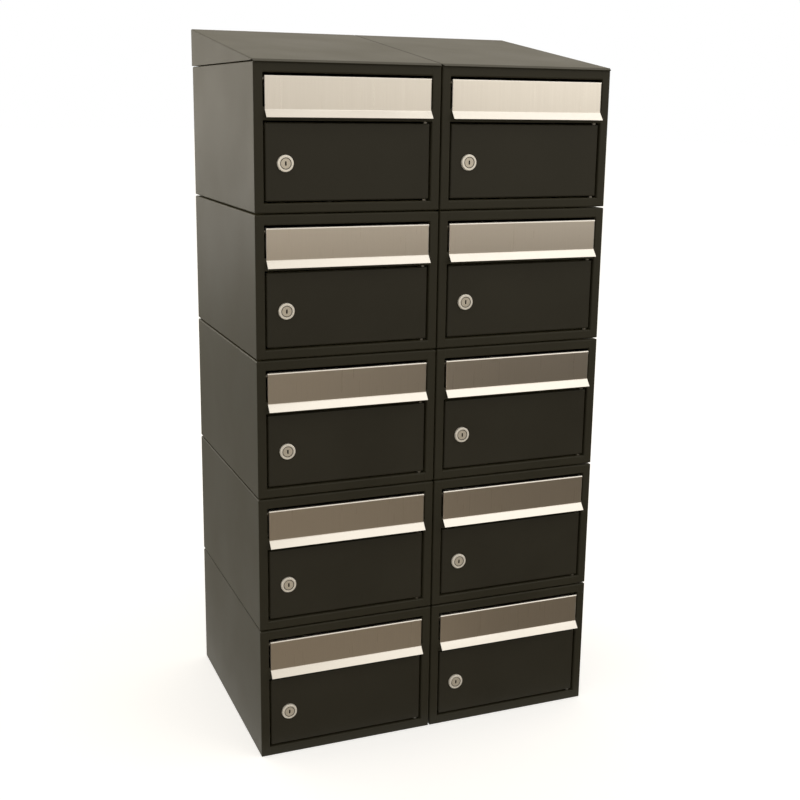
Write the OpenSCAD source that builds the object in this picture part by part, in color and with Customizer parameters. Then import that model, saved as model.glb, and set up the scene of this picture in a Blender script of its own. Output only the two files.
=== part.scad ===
// Cluster mailbox unit: two columns of five sheet-steel letter boxes under two sloping roof caps.
// Each box has a letter flap, an inset door and a cam lock. All sizes are millimetres.
// The front faces -Y, +X is to the right of someone facing it and +Z is up. The origin is on the
// ground, under the middle of the unit's outline.

/* [Box] */
// Width of one box
box_w = 270; // [240:1:340]
// Height of one box
box_h = 200; // [190:1:260]
// Depth of one box, from the front frame to the back panel
box_d = 360; // [300:1:420]
// Thickness of the painted steel sheet
sheet = 1.2; // [0.8:0.1:2]
// Outside radius of the sheet's bends
bend_r = 2; // [1:0.1:3]
// Height of the pads that keep neighbouring boxes apart
pad_h = 1; // [0.5:0.1:2]
// Diameter of these pads
pad_d = 20; // [18:0.5:26]

/* [Front frame] */
// Width of the frame beside the openings
side_border = 14; // [10:0.5:24]
// Height of the frame above the letter slot
top_border = 15; // [10:0.5:24]
// Height of the frame below the door
bottom_border = 14; // [10:0.5:24]
// Height of the letter slot opening
slot_h = 44; // [40:0.5:60]
// Height of the rail between the letter slot and the door
rail_h = 18; // [14:0.5:24]
// Depth that the openings' edges are turned back
frame_return = 16; // [12:0.5:24]
// Width of the flange that the back panel sits on
rear_flange = 12; // [8:0.5:20]

/* [Letter flap] */
// Thickness of the stainless sheet
flap_sheet = 1; // [0.6:0.1:1.5]
// Outside radius of the flap's bends
flap_bend_r = 2; // [1.5:0.1:3]
// Gap beside the flap
flap_gap = 2; // [1:0.1:4]
// Gap above the flap
flap_top_gap = 3.5; // [2.5:0.1:6]
// Height of the flap, lip included
flap_h = 54; // [50:0.5:56]
// Reach of the lip in front of the flap's face
lip_out = 8; // [4:0.5:14]
// Angle of the lip from the flap's face
lip_angle = 39; // [25:1:55]
// Clearance between the closed flap and the rail
flap_rest_gap = 0.3; // [0.1:0.1:1]
// Depth that the flap's top and ears are turned back
flap_return = 9; // [8:0.5:14]
// Depth that the flap's sides are turned back
flap_side_return = 5; // [3:0.5:7]
// Height from the flap's pivot to its top
flap_pivot_drop = 5; // [4:0.1:6]
// Distance from the flap's face to its pivot
flap_pivot_depth = 6; // [5:0.1:8]

/* [Door] */
// Gap around the door
door_gap = 2.6; // [1.5:0.1:4]
// How far the door's face lies behind the frame's face
door_recess = 1.5; // [0:0.1:3]
// Depth of the door's folded pan
door_pan_d = 12; // [9:0.5:14]
// Distance from the door's hinge edge to its pivot
hinge_inset = 5.5; // [4.5:0.1:10]
// Distance from the door's face to its pivot
hinge_depth = 4.5; // [4:0.1:6]

/* [Pins] */
// Diameter of the flap's and the door's pivot pins
pin_d = 4; // [3:0.1:5]
// Diameter of a pin's head
pin_head_d = 7; // [6:0.1:9]
// Thickness of a pin's head
pin_head_h = 1.5; // [1:0.1:3]
// Length of a pin past the sheet that turns on it
pin_end = 1.5; // [1:0.1:3]
// Radial clearance of a pin in the sheet that turns on it
pin_clear = 0.1; // [0.05:0.01:0.1]
// Diameter of the collar that the door turns on
collar_d = 6.4; // [5.5:0.1:8]
// Diameter of the collar beside the flap
spacer_d = 5; // [4.5:0.1:7]
// Clearance between a collar and the door or the flap
collar_clear = 0.2; // [0.1:0.05:0.5]

/* [Lock] */
// Distance from the box's left side to the lock
lock_x = 44; // [40:0.5:70]
// Height of the lock above the box's base
lock_z = 67; // [60:0.5:80]
// Diameter of the lock's flange
flange_d = 22.8; // [21:0.1:28]
// Thickness of the lock's flange
flange_t = 3.5; // [2.5:0.1:5]
// Width of the flange's bevelled edge
flange_bevel = 1; // [0.5:0.1:1.5]
// Diameter of the groove around the key plug
groove_d = 16.2; // [15.5:0.1:18]
// Depth of the groove around the key plug
groove_depth = 1.2; // [0.5:0.1:2]
// Diameter of the lock's barrel
barrel_d = 18.6; // [17.5:0.1:20]
// Width of the barrel across its flats
barrel_flats = 16; // [15.5:0.1:17]
// Clearance of the barrel in the door's hole
barrel_clear = 0.2; // [0.1:0.05:0.5]
// Diameter of the key plug
plug_d = 13.6; // [12:0.1:14]
// How far the key plug's face lies behind the flange's face
plug_sink = 0.4; // [0.2:0.1:0.6]
// Height of the keyhole
keyhole_h = 5.6; // [5:0.1:9]
// Width of the keyhole
keyhole_w = 2.2; // [1:0.1:2.5]
// Depth of the keyhole
keyhole_depth = 8; // [4:0.5:12]
// Width of the lock's nut across its flats
lock_nut_af = 24; // [23:0.5:30]
// Thickness of the lock's nut
lock_nut_t = 5; // [3:0.5:7]
// Width of the cam
cam_w = 16; // [13:0.5:20]
// Thickness of the cam
cam_t = 2.5; // [1.5:0.1:4]
// How far the cam reaches behind the frame when locked
cam_catch = 8; // [4:0.5:10]
// Clearance between the cam and the frame when locked
cam_play = 1.5; // [0.5:0.1:3]
// Clearance between the cam and the lock's barrel
cam_clear = 0.3; // [0.1:0.1:1]
// Width of the plug's square end
cam_square = 8; // [6:0.1:9]
// Diameter of the cam screw's head
cam_screw_head_d = 11; // [10:0.1:14]
// Thickness of the cam screw's head
cam_screw_head_h = 2.5; // [1.5:0.1:4]
// Diameter of the cam screw
cam_screw_d = 5; // [4:0.1:5.5]
// Depth of the cam screw in the plug
cam_screw_depth = 6; // [4:0.5:8]

/* [Roof caps] */
// Height of the roof's ridge above the boxes
roof_rise = 56; // [40:1:90]
// Distance from the boxes' front to the bend of the roof's drip lip
drip_start = 4.6; // [3:0.1:7]
// How far the drip lip reaches in front of the boxes
drip_out = 3; // [1.5:0.1:8]
// Slope of the drip lip
drip_slope = 22; // [15:1:40]
// Gap between the drip lip and the boxes' upper front edge
drip_gap = 0.4; // [0.3:0.1:3]
// How much the drip lip narrows at each end
drip_mitre = 2.5; // [0.5:0.1:6]
// Distance from the boxes' front to the start of the roof's cheeks
cheek_start = 8; // [8:0.1:20]
// Width of the roof's bottom flanges
roof_flange = 34; // [30:1:60]
// Distance from the boxes' front to the start of the bottom flanges
roof_flange_front = 40; // [40:1:50]

/* [Fixings] */
// Diameter of the joining bolts
bolt_d = 6; // [5:0.5:6]
// Diameter of the bolts' holes
bolt_hole_d = 6.6; // [6.4:0.1:8]
// Diameter of a bolt's head
bolt_head_d = 10.5; // [10:0.1:14]
// Height of a bolt's head
bolt_head_h = 3.3; // [2:0.1:5]
// Width of a nut across its flats
nut_af = 10; // [9:0.1:13]
// Thickness of a nut
nut_h = 5; // [3:0.1:6]
// Length of a bolt past its nut
bolt_end = 1.5; // [0.5:0.1:2]
// Diameter of the anchor holes in the lowest boxes' floors
anchor_hole_d = 9; // [8:0.5:11]
// Distance from the box's sides to the bolts
bolt_side = 22; // [20:0.5:26]
// Distance from the box's front to the front bolts
bolt_front = 62; // [60:1:100]
// Distance from the box's back to the back bolts
bolt_back = 60; // [40:1:100]
// Height of the column bolts above each box's base
column_bolt_z = 100; // [60:1:140]
// Diameter of the wall fixing holes
wall_hole_d = 7; // [5:0.5:10]
// Spacing of the wall fixing holes across the box
wall_spacing_x = 180; // [120:1:200]
// Spacing of the wall fixing holes up the box
wall_spacing_z = 120; // [80:1:140]

/* [Hidden] */
$fn = 64;
// Overlap that keeps a cut clear of the face it opens
eps = 0.5;
COLUMNS = ["left", "right"];
ROWS = 5;
PAINT = "#2f2c27";
STAINLESS = "#b9b0a0";
CHROME = "#d8d2c6";
ZINC = "#a9abac";

// A box's own frame starts at its front left bottom corner, with y into its depth
pin_r = pin_d / 2;
edge_r = min(bend_r, 2 * sheet);
casing_d = box_d - sheet;
// Distance from a box's bounds, where its pads meet its neighbours', to the inner faces of its walls
wall = pad_h + sheet;
opening_w = box_w - 2 * side_border;
slot_z = box_h - top_border - slot_h;
door_opening_h = slot_z - rail_h - bottom_border;
// Each opening is its lowest height and its own height
SLOT = [slot_z, slot_h];
DOORWAY = [bottom_border, door_opening_h];

flap_x = side_border + flap_gap;
flap_w = box_w - 2 * flap_x;
flap_top = box_h - top_border - flap_top_gap;
flap_face = -(flap_rest_gap + flap_sheet);
flap_edge_r = 1.2 * flap_sheet;
flap_pivot_y = flap_face + flap_pivot_depth;
flap_pivot_z = flap_top - flap_pivot_drop;
flap_ear_r = min(flap_pivot_drop, flap_return - flap_pivot_depth + pin_d) - flap_sheet / 2;
fold_r = flap_bend_r;
lip_straight = (lip_out - fold_r * (1 - cos(lip_angle))) / sin(lip_angle);
fold_z = flap_top - flap_h + fold_r * sin(lip_angle) + lip_straight * cos(lip_angle);

door_x = side_border + door_gap;
door_w = box_w - 2 * door_x;
door_z = bottom_border + door_gap;
door_h = door_opening_h - 2 * door_gap;
hinge_x = door_x + door_w - hinge_inset;
hinge_y = door_recess + hinge_depth;
collar_h = door_gap - collar_clear;
spacer_h = flap_gap - collar_clear;

cam_y = frame_return + cam_play - door_recess;
barrel_len = cam_y - cam_clear;
cam_len = lock_x - (side_border - sheet) + cam_catch;
barrel_r = barrel_d / 2;
plug_r = plug_d / 2;
plug_bore_r = plug_r + pin_clear;

front_reach = max(lip_out - flap_face, drip_out);
front_y = -(box_d - front_reach) / 2;
unit_h = ROWS * box_h;
// Height of the roof above the boxes at the bend of its drip lip, so that the lip clears the highest boxes
roof_front_h = (edge_r + drip_gap + sheet + sin(drip_slope) * (drip_start - edge_r)) / cos(drip_slope)
    - edge_r - pad_h;
roof_slope = atan((roof_rise - roof_front_h) / (box_d - drip_start));
roof_drop = sheet / cos(roof_slope);
bolt_r = bolt_d / 2;
// Gap that keeps bolted pieces apart as solids of their own
thread_fit = 0.05;
panel_inset = pad_h + edge_r / 3;
BOLT_X = [bolt_side, box_w - bolt_side];
BOLT_Y = [bolt_front, box_d - bolt_back];

function box_x(c) = (c - 1) * box_w;
function box_z(r) = (ROWS - 1 - r) * box_h;
function box_name(piece, c, r) = str(piece, "_", COLUMNS[c], "_", r + 1);
function roof_z(y) = roof_front_h + (y - drip_start) * tan(roof_slope);
function drip_z(y) = roof_front_h + (y - drip_start) * tan(drip_slope);

BOX_PIECES = ["casing", "flap", "door", "lock_body", "lock_core"];

// Puts its children in the frame of the box in column c and row r, counted from the top
module at_box(c, r) {
    translate([box_x(c), front_y, box_z(r)]) children();
}

module every_box() {
    for (c = [0:1], r = [0:ROWS - 1]) at_box(c, r) children();
}

// Carries an outline drawn in x and z through the depth
module extrude_y(depth) {
    translate([0, depth, 0]) rotate([90, 0, 0]) linear_extrude(depth) children();
}

// Carries an outline drawn in y and z across the width
module extrude_x(width) {
    rotate([90, 0, 90]) linear_extrude(width) children();
}

// Turns a shape that stands on z so that it points into the depth
module along_y() {
    rotate([-90, 0, 0]) children();
}

// Turns a shape that stands on z so that it points across the width
module along_x() {
    rotate([0, 90, 0]) children();
}

// What a bend of radius r takes off the sharp corner at the origin of a part in the first quadrant
module corner_cut(r) {
    difference() {
        translate([-eps, -eps]) square(r + eps);
        translate([r, r]) circle(r);
    }
}

// What a bend of radius r takes off the sharp corner at the origin of a part that lies between the
// edges that leave it at these two angles
module bend_cut(from, to, r) {
    half = (to - from) / 2;
    middle = [cos(from + half), sin(from + half)];
    run = r / tan(half);
    centre = r / sin(half) * middle;
    start = run * [cos(from), sin(from)];
    end = run * [cos(to), sin(to)];
    difference() {
        polygon([start, start + eps * [sin(from), -cos(from)], -2 * eps * middle,
                 end + eps * [-sin(to), cos(to)], end, centre]);
        translate(centre) circle(r);
    }
}

// Rectangle with its two corners at y = 0 rounded
module front_rounded(w, d, r) {
    difference() {
        square([w, d]);
        corner_cut(r);
        translate([w, 0]) mirror([1, 0]) corner_cut(r);
    }
}

// Rectangle with all its corners rounded
module all_rounded(w, h, r) {
    difference() {
        square([w, h]);
        for (i = [0, 1], j = [0, 1])
            translate([i * w, j * h]) mirror([i, 0]) mirror([0, j]) corner_cut(r);
    }
}

// Block folded from sheet: its front edges and its four long edges are bends, its back is square
module folded_block(w, d, h, r) {
    intersection() {
        extrude_y(d) all_rounded(w, h, r);
        linear_extrude(h) front_rounded(w, d, r);
        extrude_x(w) rotate(90) mirror([0, 1]) front_rounded(h, d, r);
    }
}

// Prism through a front opening, grown on all four sides, from depth y0 to y1
module opening_prism(opening, grow, y0, y1) {
    translate([side_border - grow, y0, opening[0] - grow])
        cube([opening_w + 2 * grow, y1 - y0, opening[1] + 2 * grow]);
}

// The edges of an opening turned back into the box
module opening_return(opening) {
    difference() {
        opening_prism(opening, sheet, 0, frame_return);
        opening_prism(opening, 0, -eps, frame_return + eps);
    }
}

// The bend along each edge of an opening
module opening_bends(opening) {
    for (i = [0, 1]) {
        translate([side_border + i * opening_w, 0, opening[0]]) mirror([1 - i, 0])
            linear_extrude(opening[1]) corner_cut(edge_r);
        translate([side_border, 0, opening[0] + i * opening[1]]) mirror([0, 0, 1 - i])
            extrude_x(opening_w) corner_cut(edge_r);
    }
}

// Folded tube with its front frame and rear flange, whose underside is at this height
module casing_shell(base) {
    difference() {
        translate([pad_h, 0, base])
            folded_block(box_w - 2 * pad_h, casing_d, box_h - pad_h - base, edge_r);
        translate([wall, sheet, base + sheet])
            cube([box_w - 2 * wall, casing_d - 2 * sheet, box_h - wall - base - sheet]);
        translate([rear_flange, casing_d - 2 * sheet, rear_flange])
            cube([box_w - 2 * rear_flange, 3 * sheet, box_h - 2 * rear_flange]);
        opening_prism(SLOT, 0, -eps, 2 * sheet);
        opening_prism(DOORWAY, 0, -eps, 2 * sheet);
    }
}

// Round pads, or the holes through them, at the joining bolts: ceiling, floor and the wall between the
// columns. The lowest boxes' floors stand on the ground and take anchors in place of joining bolts.
module at_pads(c, r) {
    for (x = BOLT_X, y = BOLT_Y) {
        translate([x, y, box_h]) mirror([0, 0, 1]) children();
        if (r < ROWS - 1) translate([x, y, 0]) children();
    }
    for (y = BOLT_Y)
        translate([(1 - c) * box_w, y, column_bolt_z]) mirror([1 - c, 0]) along_x() children();
}

// Holes for the pivot pins, the joining bolts and the anchors
module casing_holes(c, r) {
    translate([0, flap_pivot_y, flap_pivot_z]) along_x() {
        translate([0, 0, side_border - 2 * sheet]) cylinder(h = 3 * sheet, r = pin_r);
        translate([0, 0, box_w - side_border - sheet]) cylinder(h = 3 * sheet, r = pin_r);
    }
    for (z = [bottom_border - sheet, bottom_border + door_opening_h])
        translate([hinge_x, hinge_y, z - sheet]) cylinder(h = 3 * sheet, r = pin_r);
    at_pads(c, r) translate([0, 0, -eps]) cylinder(h = wall + 2 * eps, d = bolt_hole_d);
    if (r == ROWS - 1) for (x = BOLT_X, y = BOLT_Y)
        translate([x, y, -sheet]) cylinder(h = 3 * sheet, d = anchor_hole_d);
}

module casing(c, r) {
    color(PAINT) at_box(c, r) difference() {
        union() {
            casing_shell(r < ROWS - 1 ? pad_h : 0);
            at_pads(c, r) cylinder(h = wall - sheet / 2, d = pad_d);
            opening_return(SLOT);
            opening_return(DOORWAY);
        }
        opening_bends(SLOT);
        opening_bends(DOORWAY);
        casing_holes(c, r);
    }
}

// Section of the flap in y and z: top turned back, flat face, and a lip bent out at the bottom
module flap_section() {
    translate([flap_face, fold_z]) square([flap_sheet, flap_top - flap_bend_r - fold_z]);
    translate([flap_face + flap_bend_r, flap_top - flap_bend_r]) intersection() {
        bend_ring(flap_bend_r - flap_sheet);
        translate([-flap_bend_r, 0]) square(flap_bend_r);
    }
    translate([flap_face + flap_bend_r, flap_top - flap_sheet])
        square([flap_return - flap_bend_r, flap_sheet]);
    translate([flap_face - fold_r, fold_z]) {
        intersection() {
            bend_ring(fold_r);
            translate([0, -2 * fold_r]) square(2 * fold_r);
            rotate(-lip_angle) square(2 * fold_r);
        }
        rotate(-lip_angle) translate([fold_r, -lip_straight]) square([flap_sheet, lip_straight]);
    }
}

module bend_ring(inner_r) {
    difference() {
        circle(inner_r + flap_sheet);
        circle(inner_r);
    }
}

// One end of the flap turned back, with an ear around the pivot
module flap_side() {
    side_z = slot_z + flap_gap;
    translate([flap_face, side_z])
        square([flap_side_return, flap_top - flap_bend_r - side_z]);
    translate([flap_face, flap_pivot_z - flap_ear_r])
        square([flap_pivot_depth, flap_ear_r + flap_pivot_drop - flap_bend_r]);
    translate([flap_pivot_y, flap_pivot_z]) circle(flap_ear_r);
}

module flap(c, r) {
    color(STAINLESS) at_box(c, r) difference() {
        union() {
            translate([flap_x, 0, 0]) extrude_x(flap_w) flap_section();
            for (x = [flap_x, flap_x + flap_w - flap_sheet])
                translate([x, 0, 0]) extrude_x(flap_sheet) flap_side();
        }
        for (i = [0, 1])
            translate([flap_x + i * flap_w, flap_face, fold_z]) mirror([i, 0])
                linear_extrude(flap_top - flap_bend_r - fold_z) corner_cut(flap_edge_r);
        translate([0, flap_pivot_y, flap_pivot_z]) along_x()
            cylinder(h = box_w, r = pin_r + pin_clear);
    }
}

// Round hole or barrel with two flats, which keeps the lock from turning
module lock_outline(clear) {
    intersection() {
        circle(barrel_r + clear);
        square([barrel_flats + 2 * clear, 2 * barrel_d], center = true);
    }
}

module door(c, r) {
    color(PAINT) at_box(c, r) difference() {
        translate([door_x, door_recess, door_z]) folded_block(door_w, door_pan_d, door_h, edge_r);
        translate([door_x + sheet, door_recess + sheet, door_z + sheet])
            cube([door_w - 2 * sheet, door_pan_d, door_h - 2 * sheet]);
        translate([lock_x, door_recess - eps, lock_z]) along_y()
            linear_extrude(sheet + 2 * eps) lock_outline(barrel_clear);
        for (z = [door_z, door_z + door_h - sheet])
            translate([hinge_x, hinge_y, z - sheet]) cylinder(h = 3 * sheet, r = pin_r + pin_clear);
    }
}

// Half section of the lock's flange, outside radius against depth from the door's face
module flange_section() {
    flange_r = flange_d / 2;
    polygon([[plug_bore_r, 0], [flange_r, 0], [flange_r, -flange_t / 2],
             [flange_r - flange_bevel / 3, flange_bevel / 2 - flange_t],
             [flange_r - flange_bevel, -flange_t], [groove_d / 2, -flange_t],
             [groove_d / 2, groove_depth - flange_t], [plug_bore_r, groove_depth - flange_t]]);
}

module hexagon(across_flats) {
    circle(d = across_flats / cos(30), $fn = 6);
}

module at_lock(c, r) {
    at_box(c, r) translate([lock_x, door_recess, lock_z]) along_y() children();
}

// Flanged barrel and, behind the door, the nut that holds it
module lock_body(c, r) {
    color(CHROME) at_lock(c, r) {
        rotate_extrude() flange_section();
        linear_extrude(barrel_len) difference() {
            lock_outline(0);
            circle(plug_bore_r);
        }
    }
    color(ZINC) at_lock(c, r) translate([0, 0, sheet]) linear_extrude(lock_nut_t) difference() {
        hexagon(lock_nut_af);
        circle(barrel_r + thread_fit);
    }
}

// Key plug with its keyhole and square end, stored with the cam hanging down, which is unlocked
module key_plug() {
    plug_face = plug_sink - flange_t;
    difference() {
        union() {
            translate([0, 0, plug_face]) cylinder(h = cam_y - thread_fit - plug_face, r = plug_r);
            translate([-cam_square / 2, -cam_square / 2, 0])
                cube([cam_square, cam_square, cam_y + cam_t - thread_fit]);
        }
        translate([-keyhole_w / 2, -keyhole_h / 2, plug_face - eps])
            cube([keyhole_w, keyhole_h, keyhole_depth + eps]);
        translate([0, 0, cam_y + cam_t - cam_screw_depth - thread_fit])
            cylinder(h = cam_screw_depth + eps, r = cam_screw_d / 2 + thread_fit);
    }
}

module cam() {
    translate([0, 0, cam_y]) linear_extrude(cam_t) difference() {
        union() {
            circle(d = cam_w);
            translate([-cam_w / 2, 0]) square([cam_w, cam_len - cam_w / 2]);
            translate([0, cam_len - cam_w / 2]) circle(d = cam_w);
        }
        square(cam_square + 2 * thread_fit, center = true);
    }
}

module cam_screw() {
    translate([0, 0, cam_y + cam_t + thread_fit]) {
        cylinder(h = cam_screw_head_h, d = cam_screw_head_d);
        translate([0, 0, -cam_screw_depth]) cylinder(h = cam_screw_depth, d = cam_screw_d);
    }
}

module lock_core(c, r) {
    color(CHROME) at_lock(c, r) key_plug();
    color(ZINC) at_lock(c, r) cam();
    color(ZINC) at_lock(c, r) cam_screw();
}

// Sloping top with its steeper drip lip and its back, as a section in y and z above the boxes
module roof_section() {
    mid_slope = (drip_slope + roof_slope) / 2;
    bend_depth = sheet / cos((drip_slope - roof_slope) / 2);
    difference() {
        union() {
            polygon([[drip_start, roof_front_h], [box_d, roof_rise], [box_d, roof_rise - roof_drop],
                     [drip_start + bend_depth * sin(mid_slope), roof_front_h - bend_depth * cos(mid_slope)],
                     [sheet * sin(drip_slope) - drip_out, drip_z(-drip_out) - sheet * cos(drip_slope)],
                     [-drip_out, drip_z(-drip_out)]]);
            translate([box_d - sheet, 0]) square([sheet, roof_rise - roof_drop / 2]);
        }
        translate([box_d, roof_rise]) bend_cut(180 + roof_slope, 270, edge_r);
    }
}

module roof_cheek() {
    polygon([[cheek_start, 0], [cheek_start, roof_z(cheek_start) - roof_drop / 2],
             [box_d - sheet / 2, roof_z(box_d - sheet / 2) - roof_drop / 2], [box_d - sheet / 2, 0]]);
}

// Wedge that narrows the drip lip at a roof cap's left end
module drip_end() {
    reach = 2 * (drip_start + drip_out);
    translate([0, drip_start]) rotate(atan(drip_mitre / (drip_start + drip_out)))
        translate([-reach, -reach]) square(reach);
}

module roof_cap(c) {
    color(PAINT) translate([box_x(c), front_y, unit_h]) difference() {
        union() {
            extrude_x(box_w) roof_section();
            for (i = [0, 1]) {
                translate([i * (box_w - sheet), 0, 0]) extrude_x(sheet) roof_cheek();
                translate([i * (box_w - roof_flange), roof_flange_front, 0])
                    cube([roof_flange, box_d - roof_flange_front - sheet / 2, sheet]);
            }
        }
        for (i = [0, 1]) {
            translate([i * box_w, drip_start, roof_front_h]) rotate([roof_slope, 0, 0])
                mirror([i, 0]) mirror([0, 0, 1]) extrude_y(2 * box_d) corner_cut(edge_r);
            translate([i * box_w, 0]) mirror([i, 0])
                linear_extrude(2 * roof_rise, center = true) drip_end();
        }
        for (x = BOLT_X, y = BOLT_Y)
            translate([x, y, -sheet]) cylinder(h = 3 * sheet, d = bolt_hole_d);
    }
}

module back_panels() {
    color(PAINT) every_box() translate([panel_inset, casing_d, panel_inset]) extrude_y(sheet)
        difference() {
            all_rounded(box_w - 2 * panel_inset, box_h - 2 * panel_inset, edge_r);
            translate([box_w / 2 - panel_inset, box_h / 2 - panel_inset])
                for (i = [-1, 1], j = [-1, 1])
                    translate([i * wall_spacing_x, j * wall_spacing_z] / 2) circle(d = wall_hole_d);
        }
}

// Pin standing on z: its head below the sheet that holds it, which starts at z = 0, and a collar above
module pivot_pin(length, collar_r, collar_h) {
    head_r = pin_head_d / 2;
    rotate_extrude()
        polygon([[0, -pin_head_h], [head_r, -pin_head_h], [head_r, 0], [pin_r, 0], [pin_r, sheet],
                 [collar_r, sheet], [collar_r, sheet + collar_h], [pin_r, sheet + collar_h],
                 [pin_r, length], [0, length]]);
}

module flap_pivot_pins() {
    length = sheet + flap_gap + flap_sheet + pin_end;
    color(ZINC) every_box() for (i = [0, 1])
        translate([i * box_w, flap_pivot_y, flap_pivot_z]) mirror([i, 0])
            translate([side_border - sheet, 0, 0]) along_x() pivot_pin(length, spacer_d / 2, spacer_h);
}

module door_hinge_pins() {
    length = 2 * sheet + door_gap + pin_end;
    color(ZINC) every_box() for (i = [0, 1])
        translate([hinge_x, hinge_y, bottom_border + i * door_opening_h]) mirror([0, 0, i])
            translate([0, 0, -sheet]) pivot_pin(length, collar_d / 2, collar_h);
}

// Bolt standing on z, with its head on a box's wall above z = 0 and its nut under this much below it
module joining_bolt(below) {
    head_r = bolt_head_d / 2;
    end = -(below + nut_h + bolt_end);
    rotate_extrude()
        polygon([[0, end], [bolt_r, end], [bolt_r, wall], [head_r, wall], [head_r, wall + bolt_head_h / 3],
                 [head_r / 2, wall + bolt_head_h], [0, wall + bolt_head_h]]);
}

module joining_nut(below) {
    translate([0, 0, -below - nut_h]) linear_extrude(nut_h) difference() {
        hexagon(nut_af);
        circle(bolt_r + thread_fit);
    }
}

// Every place where two boxes are bolted together
module between_boxes() {
    for (c = [0, 1], r = [0:ROWS - 2], x = BOLT_X, y = BOLT_Y)
        at_box(c, r) translate([x, y, 0]) children();
    for (r = [0:ROWS - 1], y = BOLT_Y)
        at_box(1, r) translate([0, y, column_bolt_z]) mirror([1, 0, 0]) along_x() children();
}

// Every place where a roof cap is bolted to its highest box
module under_roof() {
    for (c = [0, 1], x = BOLT_X, y = BOLT_Y)
        at_box(c, 0) translate([x, y, box_h]) mirror([0, 0, 1]) children();
}

module joining_bolts() {
    color(ZINC) {
        between_boxes() joining_bolt(wall);
        under_roof() joining_bolt(sheet);
    }
}

module joining_nuts() {
    color(ZINC) {
        between_boxes() joining_nut(wall);
        under_roof() joining_nut(sheet);
    }
}

for (c = [0:1], r = [0:ROWS - 1]) {
    casing(c, r);
    flap(c, r);
    door(c, r);
    lock_body(c, r);
    lock_core(c, r);
}
roof_cap(0);  // roof_cap_left
roof_cap(1);  // roof_cap_right
back_panels();
flap_pivot_pins();
door_hinge_pins();
joining_bolts();
joining_nuts();
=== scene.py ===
"""Dresses the packed cluster mailbox unit: a finish for every node, weld seams on the frames, a stage."""

import math

import bpy
import numpy as np
from bpy.props import FloatProperty, FloatVectorProperty, PointerProperty
from bpy.types import Operator, Panel, PropertyGroup
from mathutils import Matrix, Vector


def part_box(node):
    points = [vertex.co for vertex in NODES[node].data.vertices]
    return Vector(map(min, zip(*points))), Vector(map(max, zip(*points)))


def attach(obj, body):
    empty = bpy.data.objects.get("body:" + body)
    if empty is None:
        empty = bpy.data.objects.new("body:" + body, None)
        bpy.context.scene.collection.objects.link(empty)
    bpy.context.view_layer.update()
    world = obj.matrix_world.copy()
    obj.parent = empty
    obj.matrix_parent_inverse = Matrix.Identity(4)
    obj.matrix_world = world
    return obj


bl_info = {
    "name": "Cluster Mailbox Looks",
    "version": (1, 0, 0),
    "blender": (4, 5, 0),
    "location": "View3D > Sidebar > Mailbox",
    "description": "Finishes, frame seams and stage for the packed cluster mailbox unit",
    "category": "Object",
}

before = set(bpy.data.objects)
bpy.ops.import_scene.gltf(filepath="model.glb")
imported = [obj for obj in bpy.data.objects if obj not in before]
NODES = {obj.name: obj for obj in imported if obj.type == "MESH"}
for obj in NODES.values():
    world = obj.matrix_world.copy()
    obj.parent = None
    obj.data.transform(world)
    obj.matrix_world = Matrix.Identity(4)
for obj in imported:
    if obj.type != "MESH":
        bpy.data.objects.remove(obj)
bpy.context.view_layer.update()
ROOF_LOW, ROOF_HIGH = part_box("roof_cap_left")
BOX_LOW, BOX_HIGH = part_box("casing_left_5")
BOX_W, BOX_H = ROOF_HIGH.x - ROOF_LOW.x, BOX_HIGH.z - BOX_LOW.z
COLUMNS, ROWS = 2, 5
FLANGE_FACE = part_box("lock_body_left_5")[0].y
PLUG_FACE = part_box("lock_core_left_5")[0].y

# Painted shade in the groove around a key plug and in the keyhole, where the plating is darkened: radius, and start
# and end along y
GROOVE_RADIUS, GROOVE_START, GROOVE_END = 0.0082, FLANGE_FACE + 0.0005, FLANGE_FACE + 0.004
KEYHOLE_RADIUS, KEYHOLE_START, KEYHOLE_END = 0.005, PLUG_FACE + 0.0003, PLUG_FACE + 0.012

# A box's front frame: width of its uprights, radius of its bends, lower and upper edge of each rail
UPRIGHT_WIDTH, BEND_RADIUS = 0.014, 0.002
RAILS = [(0.001, 0.014), (0.123, 0.141), (0.185, 0.199)]

# Height of the stage's cards over the floor
CARD_HEIGHT = 0.002

# Places of the colour sockets of a Mix node
MIX_SHARE, MIX_FIRST, MIX_SECOND, MIX_RESULT = 0, 6, 7, 2


# Settings

def colour(name, description, default):
    """A colour setting, in linear values."""
    return FloatVectorProperty(name=name, description=description, subtype="COLOR", size=4,
                               min=0, max=1, default=(*default, 1))


def factor(name, description, default):
    """A setting from 0 to 1."""
    return FloatProperty(name=name, description=description, subtype="FACTOR", min=0, max=1, default=default)


def length(name, description, default):
    """A length setting, in metres."""
    return FloatProperty(name=name, description=description, unit="LENGTH", precision=6, min=0, default=default)


def angle(name, description, default):
    """An angle setting, given here in degrees."""
    return FloatProperty(name=name, description=description, subtype="ANGLE", unit="ROTATION",
                         default=math.radians(default))


def power(name, description, default):
    """A lamp's power setting, in watts."""
    return FloatProperty(name=name, description=description, unit="POWER", min=0, default=default)


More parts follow.
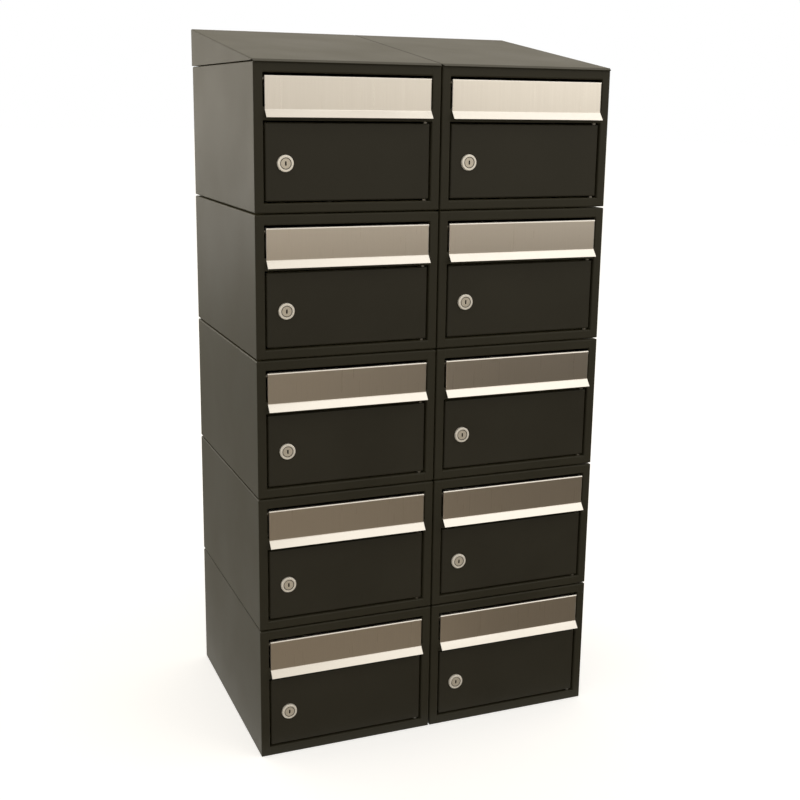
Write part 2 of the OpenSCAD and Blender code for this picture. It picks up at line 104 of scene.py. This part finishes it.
class CoatSettings(PropertyGroup):
    """The satin powder coat of the boxes, the doors and the roof caps"""
    frame_colour: colour("Boxes", "Coat of the boxes and their backs", (0.0300, 0.0276, 0.0180))
    door_colour: colour("Doors", "Coat of the doors", (0.0300, 0.0276, 0.0195))
    roof_colour: colour("Roof caps", "Coat of the roof caps", (0.0300, 0.0276, 0.0180))
    sheen_colour: colour("Sheen", "Tint of the coat's sheen at a flat angle", (1.0, 0.89, 0.45))
    sheen: factor("Sheen weight", "Strength of the coat's sheen at a flat angle", 0.06)
    darkest: factor("Darkest patch", "Share of the coat's colour left in its darkest patches", 0.86)
    roughness: factor("Roughness", "Mean roughness of the coat", 0.44)
    stray: factor("Stray", "How far the coat's roughness strays from its mean", 0.03)
    gloss: factor("Gloss", "Strength of the coat's reflection", 0.165)
    grain: length("Grain", "Size of the coat's fine grains", 0.0006)
    wave: length("Wave", "Size of the coat's slow orange peel", 0.004)
    relief: length("Relief", "Height of the grains and waves", 0.00003)


class SteelSettings(PropertyGroup):
    """The brushed stainless steel of the letter flaps"""
    colour: colour("Steel", "Colour of the brushed steel", (0.725, 0.696, 0.648))
    streak_colour: colour("Streaks", "Colour of the darker streaks", (0.691, 0.663, 0.617))
    bands: factor("Bands", "Share of wide bands in the brushing", 0.15)
    roughness: factor("Roughness", "Mean roughness of the steel", 0.30)
    stray: factor("Stray", "How far the steel's roughness strays from its mean", 0.03)
    grain: factor("Grain", "How much more the steel blurs across its grain than along it", 0.6)
    streak: length("Streak", "Width of the brushing's streaks", 0.0005)
    relief: length("Relief", "Height of the streaks", 0.000003)


class MetalSettings(PropertyGroup):
    """The plated locks and fixings"""
    lock_colour: colour("Lock", "Plating of the locks' flanges and barrels", (0.97, 0.93, 0.855))
    plug_colour: colour("Key plug", "Plating of the key plugs and cams", (0.66, 0.61, 0.52))
    # Painted shade: these shares darken the plating in the groove around a key plug and in a keyhole, where the
    # recesses are in shade
    groove: factor("Groove", "Share of the plating's colour left in the groove around a key plug", 0.20)
    keyhole: factor("Keyhole", "Share of the plating's colour left in a keyhole", 0.04)
    satin: factor("Satin", "Share of the locks' light that their satin plating scatters evenly", 0.68)
    darkest: factor("Darkest patch", "Share of the locks' colour left in their darkest patches", 0.88)
    roughness: factor("Roughness", "Mean roughness of the locks' plating", 0.28)
    stray: factor("Stray", "How far the locks' roughness strays from its mean", 0.05)
    zinc_colour: colour("Zinc", "Plating of the pins, bolts and nuts", (0.20, 0.19, 0.17))
    zinc_darkest: factor("Zinc darkest patch", "Share of the zinc's colour left in its darkest patches", 0.82)
    zinc_roughness: factor("Zinc roughness", "Mean roughness of the zinc", 0.40)
    zinc_stray: factor("Zinc stray", "How far the zinc's roughness strays from its mean", 0.06)
    ring: length("Ring", "Pitch of the turning rings on the locks' faces", 0.0003)
    relief: length("Relief", "Height of the rings and of the zinc's drawing lines", 0.000004)


class SeamSettings(PropertyGroup):
    """The painted-over weld seams where the frames' rails meet their uprights"""
    width: length("Width", "Width of a seam", 0.0008)
    height: length("Height", "Height of a seam over the sheet", 0.00012)


class StageSettings(PropertyGroup):
    """The floor, the light and the camera"""
    floor_colour: colour("Floor", "Colour of the floor", (0.82, 0.82, 0.81))
    floor_glow: factor("Floor glow", "White that the floor adds where it is seen", 0.55)
    # Painted reflections: the glowing cards that only gloss shows take these colours
    card_near: colour("Front card, near", "Colour of the card that the front reflects, beside the unit",
                      (0.246, 0.197, 0.141))
    card_far: colour("Front card, far", "Colour of that card at its far end", (0.51, 0.392, 0.263))
    side_card_near: colour("Side card, near", "Colour of the card that the left side reflects, beside the unit",
                           (0.57, 0.55, 0.51))
    side_card_far: colour("Side card, far", "Colour of that card behind the unit", (0.42, 0.41, 0.38))
    daylight: FloatProperty(name="Daylight", description="Strength of the even light", min=0, default=0.68)
    warm_white: colour("Warm white", "Tint of the front light and of the white that gloss shows", (1.0, 0.94, 0.84))
    softbox: power("Softbox", "Power of the overhead light", 10.5)
    softbox_tint: colour("Softbox tint", "Tint of the overhead light", (1.0, 1.0, 1.0))
    side_light: power("Side light", "Power of the light behind the left side", 24)
    side_tint: colour("Side tint", "Tint of the side light", (1.0, 0.92, 0.78))
    front_light: power("Front light", "Power of the light to the right of the front", 9)
    camera: FloatVectorProperty(name="Camera", description="Place of the camera", subtype="TRANSLATION",
                                unit="LENGTH", default=(-0.6923, -1.7403, 0.9464))
    azimuth: angle("Azimuth", "Turn of the view to the right of straight ahead", 22.102)
    dip: angle("Dip", "Tilt of the view below level", 12.758)
    roll: angle("Roll", "Turn of the camera around its own axis", 0.802)
    lens: FloatProperty(name="Lens", description="Focal length", unit="CAMERA", default=54.04)
    rise: FloatProperty(name="Rise", description="Vertical shift of the lens", default=-0.03)


# Shader helpers

def put(tree, socket, value):
    """Links a socket to another one, or sets its plain value."""
    if isinstance(value, bpy.types.NodeSocket):
        tree.links.new(value, socket)
    else:
        socket.default_value = value


def add(tree, kind, settings=(), sockets=()):
    """Adds a node, with its settings and its input sockets by name or number."""
    node = tree.nodes.new(kind)
    for name, value in dict(settings).items():
        setattr(node, name, value)
    for name, value in dict(sockets).items():
        put(tree, node.inputs[name], value)
    return node


def maths(tree, operation, *values):
    """One step of arithmetic on up to three values."""
    return add(tree, "ShaderNodeMath", {"operation": operation}, enumerate(values)).outputs[0]


def noise(tree, place, scale, detail=2.0):
    """Soft noise of this many features per unit of place."""
    return add(tree, "ShaderNodeTexNoise", sockets={"Vector": place, "Scale": scale, "Detail": detail}).outputs[0]


def ranged(tree, value, low, high, start=0.3, end=0.7):
    """Carries a value that runs from start to end onto the range from low to high."""
    return add(tree, "ShaderNodeMapRange", sockets={"Value": value, "From Min": start, "From Max": end,
                                                    "To Min": low, "To Max": high}).outputs[0]


def blended(tree, share, first, second):
    """Colour that goes from first to second with the share."""
    node = add(tree, "ShaderNodeMix", {"data_type": "RGBA"})
    put(tree, node.inputs[MIX_SHARE], share)
    put(tree, node.inputs[MIX_FIRST], first)
    put(tree, node.inputs[MIX_SECOND], second)
    return node.outputs[MIX_RESULT]


def spread(tree, share, mean, width):
    """Value that goes from a width below the mean to a width above it with the share."""
    return ranged(tree, share, mean - width, mean + width, 0, 1)


def dimmed(tint, share):
    """The tint with its light cut to a share."""
    return [share * part for part in tint[:3]] + [1]


def place_in_object(tree):
    """The x, y and z of a point in its object's coordinates."""
    coordinates = add(tree, "ShaderNodeTexCoord").outputs["Object"]
    return add(tree, "ShaderNodeSeparateXYZ", sockets={0: coordinates}).outputs


def effect(name, inputs, outputs):
    """New node group with these inputs and outputs. Returns its tree, its inputs and its output node."""
    tree = bpy.data.node_groups.new(name, "ShaderNodeTree")
    for key, default in inputs.items():
        tree.interface.new_socket(name=key, in_out="INPUT", socket_type="NodeSocketFloat").default_value = default
    for key in outputs:
        tree.interface.new_socket(name=key, in_out="OUTPUT", socket_type="NodeSocketFloat")
    return tree, add(tree, "NodeGroupInput").outputs, add(tree, "NodeGroupOutput")


def placed(tree, group, **values):
    """Places a group in a material with its own values, and returns its outputs."""
    node = add(tree, "ShaderNodeGroup", {"node_tree": bpy.data.node_groups[group]})
    for name, value in values.items():
        put(tree, node.inputs[name.replace("_", " ")], value)
    return node.outputs


def finish_material(name, **constants):
    """New material. Returns it, its tree and its Principled shader with these plain values."""
    material = bpy.data.materials.new(name)
    material.use_nodes = True
    tree = material.node_tree
    shader = tree.nodes["Principled BSDF"]
    for key, value in constants.items():
        shader.inputs[key.replace("_", " ")].default_value = value
    return material, tree, shader


def bumped(tree, shader, height, relief):
    """Gives the shader a bump of this relief in metres from a height of 0 to 1."""
    bump = add(tree, "ShaderNodeBump", sockets={"Strength": 1.0, "Distance": relief, "Height": height})
    put(tree, shader.inputs["Normal"], bump.outputs[0])


# Effects that several finishes share

def build_powder_texture():
    """Powder coat: height is 0.55 slow waves plus 0.45 fine grains, patches are slow noise."""
    tree, given, out = effect("powder_texture", {"Grains": 1700, "Waves": 250, "Patches": 8}, ["Height", "Patches"])
    place = add(tree, "ShaderNodeTexCoord").outputs["Object"]
    waves = noise(tree, place, given["Waves"])
    grains = maths(tree, "MULTIPLY", noise(tree, place, given["Grains"]), 0.45)
    put(tree, out.inputs["Height"], maths(tree, "MULTIPLY_ADD", waves, 0.55, grains))
    put(tree, out.inputs["Patches"], ranged(tree, noise(tree, place, given["Patches"], detail=4.0), 0, 1))


def build_drawn_grain():
    """Brushing up and down: noise on coordinates that are close across the grain and long along it. Bands are
    noise that is 0.06 times as close across the grain."""
    tree, given, out = effect("drawn_grain", {"Across": 2000, "Along": 9}, ["Streaks", "Bands"])
    place = place_in_object(tree)

    def stretched(closeness):
        across = maths(tree, "MULTIPLY", given["Across"], closeness)
        return add(tree, "ShaderNodeCombineXYZ", sockets={
            0: maths(tree, "MULTIPLY", place[0], across), 1: maths(tree, "MULTIPLY", place[1], across),
            2: maths(tree, "MULTIPLY", place[2], given["Along"])}).outputs[0]

    put(tree, out.inputs["Streaks"], ranged(tree, noise(tree, stretched(1.0), scale=1.0, detail=3.0), 0, 1))
    put(tree, out.inputs["Bands"], ranged(tree, noise(tree, stretched(0.06), scale=1.0, detail=2.0), 0, 1))


def build_turned_rings():
    """Turning rings: noise of the distance from a lock's axis, folded back to one box. Shade is 1 inside a
    radius and between two depths: the mask of the painted shade in a lock's groove and in its keyhole."""
    tree, given, out = effect("turned_rings", {"Axis X": 0.044, "Axis Z": 0.067, "Rings": 3300, "Radius": 0.0,
                                               "Start": 0.0, "End": 0.0}, ["Rings", "Shade"])
    place = place_in_object(tree)
    across = maths(tree, "SUBTRACT", maths(tree, "WRAP", place[0], BOX_W, 0.0), given["Axis X"])
    up = maths(tree, "SUBTRACT", maths(tree, "WRAP", place[2], BOX_H, 0.0), given["Axis Z"])
    radius = maths(tree, "SQRT", maths(tree, "MULTIPLY_ADD", across, across, maths(tree, "MULTIPLY", up, up)))
    rings = add(tree, "ShaderNodeTexNoise", {"noise_dimensions": "1D"},
                {"W": maths(tree, "MULTIPLY", radius, given["Rings"]), "Scale": 1.0, "Detail": 1.0})
    put(tree, out.inputs["Rings"], ranged(tree, rings.outputs[0], 0, 1))
    depth = maths(tree, "MULTIPLY", maths(tree, "GREATER_THAN", place[1], given["Start"]),
                  maths(tree, "LESS_THAN", place[1], given["End"]))
    put(tree, out.inputs["Shade"], maths(tree, "MULTIPLY", maths(tree, "LESS_THAN", radius, given["Radius"]), depth))


# Finishes

def powder_coat(name, paint):
    """Satin powder coat: patches vary colour and roughness a little, grains and waves give the relief."""
    coat = bpy.context.scene.mailbox_coat
    material, tree, shader = finish_material(name, Specular_IOR_Level=coat.gloss, Sheen_Weight=coat.sheen,
                                             Sheen_Roughness=0.5, Sheen_Tint=coat.sheen_colour)
    texture = placed(tree, "powder_texture", Grains=1 / coat.grain, Waves=1 / coat.wave)
    put(tree, shader.inputs["Base Color"],
        blended(tree, texture["Patches"], dimmed(paint, coat.darkest), list(paint)))
    put(tree, shader.inputs["Roughness"], spread(tree, texture["Patches"], coat.roughness, coat.stray))
    bumped(tree, shader, texture["Height"], coat.relief)
    return material


def brushed_steel(name):
    """Brushed stainless steel: streaks along the grain vary colour, roughness and relief. A light streak is the
    smoother one."""
    steel = bpy.context.scene.mailbox_steel
    material, tree, shader = finish_material(name, Metallic=1.0, Anisotropic=steel.grain)
    grain = placed(tree, "drawn_grain", Across=1 / steel.streak)
    bands = maths(tree, "MULTIPLY", grain["Bands"], steel.bands)
    share = maths(tree, "MULTIPLY_ADD", grain["Streaks"], 1 - steel.bands, bands)
    put(tree, shader.inputs["Base Color"], blended(tree, share, list(steel.streak_colour), list(steel.colour)))
    put(tree, shader.inputs["Roughness"], spread(tree, share, steel.roughness, -steel.stray))
    bumped(tree, shader, grain["Streaks"], steel.relief)
    return material


def turned_plating(name, plate, shade, radius, start, end):
    """Satin plated lock metal: fine turning rings vary its roughness and relief, slow patches its colour. Inside the
    radius, between these depths, its colour drops to a share: painted shade for a recess."""
    metal = bpy.context.scene.mailbox_metal
    material, tree, shader = finish_material(name, Metallic=1 - metal.satin)
    turned = placed(tree, "turned_rings", Rings=1 / metal.ring, Radius=radius, Start=start, End=end)
    patches = placed(tree, "powder_texture", Patches=60)["Patches"]
    plating = blended(tree, patches, dimmed(plate, metal.darkest), list(plate))
    # Painted shade: inside the mask of the groove and keyhole the plating drops to the shade share
    put(tree, shader.inputs["Base Color"], blended(tree, turned["Shade"], plating, dimmed(plate, shade)))
    put(tree, shader.inputs["Roughness"], spread(tree, turned["Rings"], metal.roughness, metal.stray))
    bumped(tree, shader, turned["Rings"], metal.relief)
    return material


def zinc_plate(name):
    """Zinc plating: cloudy patches of colour and roughness, with faint drawing lines."""
    metal = bpy.context.scene.mailbox_metal
    material, tree, shader = finish_material(name, Metallic=1.0)
    patches = placed(tree, "powder_texture", Patches=240)["Patches"]
    streaks = placed(tree, "drawn_grain", Across=2600, Along=60)["Streaks"]
    zinc = list(metal.zinc_colour)
    put(tree, shader.inputs["Base Color"], blended(tree, patches, dimmed(zinc, metal.zinc_darkest), zinc))
    put(tree, shader.inputs["Roughness"], spread(tree, patches, metal.zinc_roughness, metal.zinc_stray))
    bumped(tree, shader, streaks, metal.relief)
    return material


def dress(material, *starts):
    """Gives a material to every CAD node whose name starts with one of these words."""
    found = [node for name, node in NODES.items() if name.startswith(starts)]
    if not found:
        raise RuntimeError(f"the packed model has no nodes named {starts}")
    for node in found:
        node.data.materials.clear()
        node.data.materials.append(material)


# New pieces

def new_piece(name, points, faces, material, smooth=True):
    """New mesh object at the origin from arrays of points and faces."""
    mesh = bpy.data.meshes.new(name)
    mesh.from_pydata(points.tolist(), [], faces)
    mesh.polygons.foreach_set("use_smooth", np.full(len(faces), smooth))
    mesh.materials.append(material)
    piece = bpy.data.objects.new(name, mesh)
    bpy.context.scene.collection.objects.link(piece)
    return piece


def across_rail(low, high, bend, steps=7):
    """Path over a rail's face in y and z, with the face's outward direction at each point: a quarter turn of the
    bend radius at the low edge, straight up the face, a quarter turn at the high edge."""
    turn = np.linspace(0, np.pi / 2, steps)
    lower = np.stack([bend - bend * np.sin(turn), low + bend - bend * np.cos(turn)], 1)
    upper = np.stack([bend - bend * np.cos(turn), high - bend + bend * np.sin(turn)], 1)
    outward = np.concatenate([np.stack([-np.sin(turn), -np.cos(turn)], 1),
                              np.stack([-np.cos(turn), np.sin(turn)], 1)])
    return np.concatenate([lower, upper]), outward


def seam_beads(width, height, turns=8):
    """Points and faces of the weld seams of every frame: at each end of each rail, an ellipse half the width by
    the height is carried over the rail's face, with its lower half inside the sheet."""
    around = np.arange(turns) * 2 * np.pi / turns
    rise = height * np.sin(around)
    beads = []
    for low, high in RAILS:
        path, outward = across_rail(low, high, BEND_RADIUS)
        y = path[:, :1] + outward[:, :1] * rise
        z = path[:, 1:] + outward[:, 1:] * rise
        x = np.broadcast_to(width / 2 * np.cos(around), y.shape)
        beads.append(np.stack([x, y, z], -1))
    column, row, end = np.meshgrid(np.arange(COLUMNS), np.arange(ROWS), [UPRIGHT_WIDTH, BOX_W - UPRIGHT_WIDTH],
                                   indexing="ij")
    start = np.stack([ROOF_LOW.x + column * BOX_W + end, np.full(end.shape, BOX_LOW.y), BOX_LOW.z + row * BOX_H], -1)
    points = start.reshape(-1, 1, 1, 1, 3) + np.stack(beads)
    uprights, rails, steps = points.shape[:3]
    first = np.arange(uprights * rails)[:, None, None] * steps * turns
    along = np.arange(steps - 1)[:, None] * turns
    here = np.arange(turns)
    after = (here + 1) % turns
    sides = np.stack([first + along + here, first + along + after,
                      first + along + turns + after, first + along + turns + here], -1).reshape(-1, 4)
    caps = np.concatenate([first[:, 0] + here[::-1], first[:, 0] + (steps - 1) * turns + here])
    return points.reshape(-1, 3), sides.tolist() + caps.tolist()


# Stage

def flat_sheet(name, x, y, z, material):
    """Level rectangle of the stage over these ranges of x and y."""
    points = np.array([[x[0], y[0], z], [x[1], y[0], z], [x[1], y[1], z], [x[0], y[1], z]])
    sheet = new_piece(name, points, [[0, 1, 2, 3]], material, smooth=False)
    return sheet


def painted_reflection_card(name, x, y, colours, grade):
    """Glowing card on the floor that only gloss shows, a painted reflection, whose colour goes from the first to the
    second between two places along y. Returns its tree, its shader and a point's place on it."""
    material, tree, shader = finish_material(f"{name}_paper", Base_Color=(0, 0, 0, 1), Specular_IOR_Level=0.0,
                                             Emission_Strength=1.0)
    place = place_in_object(tree)
    put(tree, shader.inputs["Emission Color"],
        blended(tree, ranged(tree, place[1], 0, 1, *grade), *map(list, colours)))
    card = flat_sheet(name, x, y, CARD_HEIGHT, material)
    card.visible_camera = card.visible_diffuse = card.visible_shadow = card.visible_transmission = False
    return tree, shader, place


def seen_directly(tree):
    """1 on the rays that show a thing directly, in a reflection or through glass, 0 on the rays that light others."""
    path = add(tree, "ShaderNodeLightPath").outputs
    return maths(tree, "MAXIMUM", path["Is Camera Ray"],
                 maths(tree, "MAXIMUM", path["Is Glossy Ray"], path["Is Transmission Ray"]))


# Operators

class MAILBOX_OT_effects(Operator):
    """Builds the effects that several finishes share"""
    bl_idname = "mailbox.effects"
    bl_label = "Shared Effects"

    def execute(self, context):
        build_powder_texture()
        build_drawn_grain()
        build_turned_rings()
        return {"FINISHED"}


class MAILBOX_OT_boxes(Operator):
    """Coats the boxes and their back panels"""
    bl_idname = "mailbox.boxes"
    bl_label = "Boxes"

    def execute(self, context):
        dress(powder_coat("box_coat", context.scene.mailbox_coat.frame_colour), "casing", "back_panels")
        return {"FINISHED"}


class MAILBOX_OT_doors(Operator):
    """Coats the doors"""
    bl_idname = "mailbox.doors"
    bl_label = "Doors"

    def execute(self, context):
        dress(powder_coat("door_coat", context.scene.mailbox_coat.door_colour), "door_left", "door_right")
        return {"FINISHED"}


class MAILBOX_OT_roof_caps(Operator):
    """Coats the roof caps"""
    bl_idname = "mailbox.roof_caps"
    bl_label = "Roof Caps"

    def execute(self, context):
        dress(powder_coat("roof_coat", context.scene.mailbox_coat.roof_colour), "roof_cap")
        return {"FINISHED"}


class MAILBOX_OT_flaps(Operator):
    """Gives the letter flaps their brushed steel"""
    bl_idname = "mailbox.flaps"
    bl_label = "Letter Flaps"

    def execute(self, context):
        dress(brushed_steel("flap_steel"), "flap_left", "flap_right")
        return {"FINISHED"}


class MAILBOX_OT_locks(Operator):
    """Plates the locks and their key plugs"""
    bl_idname = "mailbox.locks"
    bl_label = "Locks"

    def execute(self, context):
        metal = context.scene.mailbox_metal
        # The groove and keyhole shares paint shade into the plating of the locks and of the key plugs
        dress(turned_plating("lock_plating", metal.lock_colour, metal.groove,
                             GROOVE_RADIUS, GROOVE_START, GROOVE_END), "lock_body")
        dress(turned_plating("plug_plating", metal.plug_colour, metal.keyhole,
                             KEYHOLE_RADIUS, KEYHOLE_START, KEYHOLE_END), "lock_core")
        return {"FINISHED"}


class MAILBOX_OT_fixings(Operator):
    """Plates the pins, bolts and nuts"""
    bl_idname = "mailbox.fixings"
    bl_label = "Fixings"

    def execute(self, context):
        dress(zinc_plate("fixing_zinc"), "flap_pivot_pins", "door_hinge_pins", "joining")
        return {"FINISHED"}


class MAILBOX_OT_frame_seams(Operator):
    """Adds the painted-over weld seams to the frames"""
    bl_idname = "mailbox.frame_seams"
    bl_label = "Frame Seams"

    def execute(self, context):
        seam = context.scene.mailbox_seam
        points, faces = seam_beads(seam.width, seam.height)
        piece = new_piece("frame_seams", points, faces, bpy.data.materials["box_coat"])
        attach(piece, "stack")
        return {"FINISHED"}


class MAILBOX_OT_stage(Operator):
    """Builds the floor, the light and the camera"""
    bl_idname = "mailbox.stage"
    bl_label = "Stage"

    def execute(self, context):
        stage = context.scene.mailbox_stage
        self.light_world(context.scene, stage)
        self.lay_floor(stage)
        self.lay_cards(stage)
        self.hang_light("softbox", stage.softbox, stage.softbox_tint,
                        size=(2.6, 2.0), place=(1.7, -1.2, 3.0), aim=(0, 0, 0.6))
        self.hang_light("side_light", stage.side_light, stage.side_tint,
                        size=(2.2, 2.1), place=(-2.2, 3.1, 1.45), aim=(-0.2, 0, 0.7))
        self.hang_light("front_light", stage.front_light, stage.warm_white,
                        size=(1.8, 1.8), place=(3.3, -4.5, 1.8), aim=(0, 0, 0.8))
        self.set_camera(context.scene, stage)
        context.scene.view_settings.view_transform = "Standard"
        return {"FINISHED"}

    def light_world(self, scene, stage):
        """White to the camera, warm white in gloss, and an even light of the stage's daylight elsewhere."""
        scene.world = bpy.data.worlds.new("studio")
        scene.world.use_nodes = True
        tree = scene.world.node_tree
        background = tree.nodes["Background"]
        camera = add(tree, "ShaderNodeLightPath").outputs["Is Camera Ray"]
        put(tree, background.inputs["Color"], blended(tree, camera, list(stage.warm_white), (1, 1, 1, 1)))
        put(tree, background.inputs["Strength"], ranged(tree, seen_directly(tree), stage.daylight, 1.0, 0, 1))

    def lay_floor(self, stage):
        """A pale floor that reads white away from the shadow."""
        material, tree, shader = finish_material("floor_paper", Base_Color=stage.floor_colour, Roughness=0.9,
                                                 Specular_IOR_Level=0.0, Emission_Color=(1, 1, 1, 1))
        put(tree, shader.inputs["Emission Strength"], maths(tree, "MULTIPLY", seen_directly(tree), stage.floor_glow))
        flat_sheet("floor", x=(-20, 20), y=(-20, 40), z=0.0, material=material)

    def lay_cards(self, stage):
        """Two darker glowing cards on the floor that only gloss shows: painted reflections in the front and in the
        left side.
        The front card also dims to the right, where x over y goes from -0.3 to -0.5: by 0.36 beside the unit, by 0.9
        at
        2.4 to 3.4 m in front of its middle, and by nothing from 6 m on."""
        painted_reflection_card("side_card", x=(-9, -0.3), y=(-0.2, 4.6), grade=(0.2, 2.4),
                   colours=(stage.side_card_near, stage.side_card_far))
        tree, shader, place = painted_reflection_card("front_card", x=(-9, 9), y=(-16, -0.2), grade=(-5.0, -9.0),
                                         colours=(stage.card_near, stage.card_far))
        right = ranged(tree, maths(tree, "DIVIDE", place[0], place[1]), low=0, high=1, start=-0.3, end=-0.5)
        rising = ranged(tree, place[1], low=0.36, high=0.90, start=-1.2, end=-2.4)
        fading = ranged(tree, place[1], low=1.0, high=0.0, start=-3.4, end=-6.0)
        drop = maths(tree, "MULTIPLY", right, maths(tree, "MULTIPLY", rising, fading))
        put(tree, shader.inputs["Emission Strength"], maths(tree, "SUBTRACT", 1.0, drop))

    def hang_light(self, name, watts, tint, size, place, aim):
        """A wide soft light at a place, aimed at a point of the unit."""
        light = bpy.data.lights.new(name, "AREA")
        light.shape, light.energy, light.color = "RECTANGLE", watts, tint[:3]
        light.size, light.size_y = size
        lamp = bpy.data.objects.new(name, light)
        lamp.location = place
        lamp.rotation_euler = (Vector(aim) - lamp.location).to_track_quat("-Z", "Y").to_euler()
        lamp.visible_camera = False
        bpy.context.scene.collection.objects.link(lamp)

    def set_camera(self, scene, stage):
        """The photograph's viewing angle, from a place, a turn, a dip and a roll."""
        camera = bpy.data.objects.new("camera", bpy.data.cameras.new("camera"))
        camera.data.lens, camera.data.shift_y = stage.lens, stage.rise
        ahead = Vector((math.sin(stage.azimuth) * math.cos(stage.dip), math.cos(stage.azimuth) * math.cos(stage.dip),
                        -math.sin(stage.dip)))
        level = Vector((math.cos(stage.azimuth), -math.sin(stage.azimuth), 0))
        upright = level.cross(ahead)
        right = math.cos(stage.roll) * level + math.sin(stage.roll) * upright
        up = math.cos(stage.roll) * upright - math.sin(stage.roll) * level
        turn = Matrix((right, up, -ahead)).transposed().to_4x4()
        camera.matrix_world = Matrix.Translation(stage.camera) @ turn
        scene.collection.objects.link(camera)
        scene.camera = camera


# Panel and registration

class MAILBOX_PT_looks(Panel):
    """Lists the settings and the steps"""
    bl_idname = "MAILBOX_PT_looks"
    bl_label = "Cluster Mailbox"
    bl_space_type = "VIEW_3D"
    bl_region_type = "UI"
    bl_category = "Mailbox"

    def draw(self, context):
        for key, group in SETTINGS.items():
            box = self.layout.box()
            box.label(text=group.__doc__)
            for name in group.__annotations__:
                box.prop(getattr(context.scene, key), name)
        for step in STEPS:
            self.layout.operator(step.bl_idname)


SETTINGS = {"mailbox_coat": CoatSettings, "mailbox_steel": SteelSettings, "mailbox_metal": MetalSettings,
            "mailbox_seam": SeamSettings, "mailbox_stage": StageSettings}
STEPS = [MAILBOX_OT_effects, MAILBOX_OT_boxes, MAILBOX_OT_doors, MAILBOX_OT_roof_caps, MAILBOX_OT_flaps,
         MAILBOX_OT_locks, MAILBOX_OT_fixings, MAILBOX_OT_frame_seams, MAILBOX_OT_stage]
CLASSES = [*SETTINGS.values(), *STEPS, MAILBOX_PT_looks]


def register():
    """Adds the settings, the steps and the panel."""
    for cls in CLASSES:
        bpy.utils.register_class(cls)
    for key, group in SETTINGS.items():
        setattr(bpy.types.Scene, key, PointerProperty(type=group))


def unregister():
    """Takes them out again."""
    for key in SETTINGS:
        delattr(bpy.types.Scene, key)
    for cls in reversed(CLASSES):
        bpy.utils.unregister_class(cls)


def main():
    """Runs every step."""
    register()
    bpy.ops.mailbox.effects()
    bpy.ops.mailbox.boxes()
    bpy.ops.mailbox.doors()
    bpy.ops.mailbox.roof_caps()
    bpy.ops.mailbox.flaps()
    bpy.ops.mailbox.locks()
    bpy.ops.mailbox.fixings()
    bpy.ops.mailbox.frame_seams()
    bpy.ops.mailbox.stage()


if __name__ == "__main__":
    main()
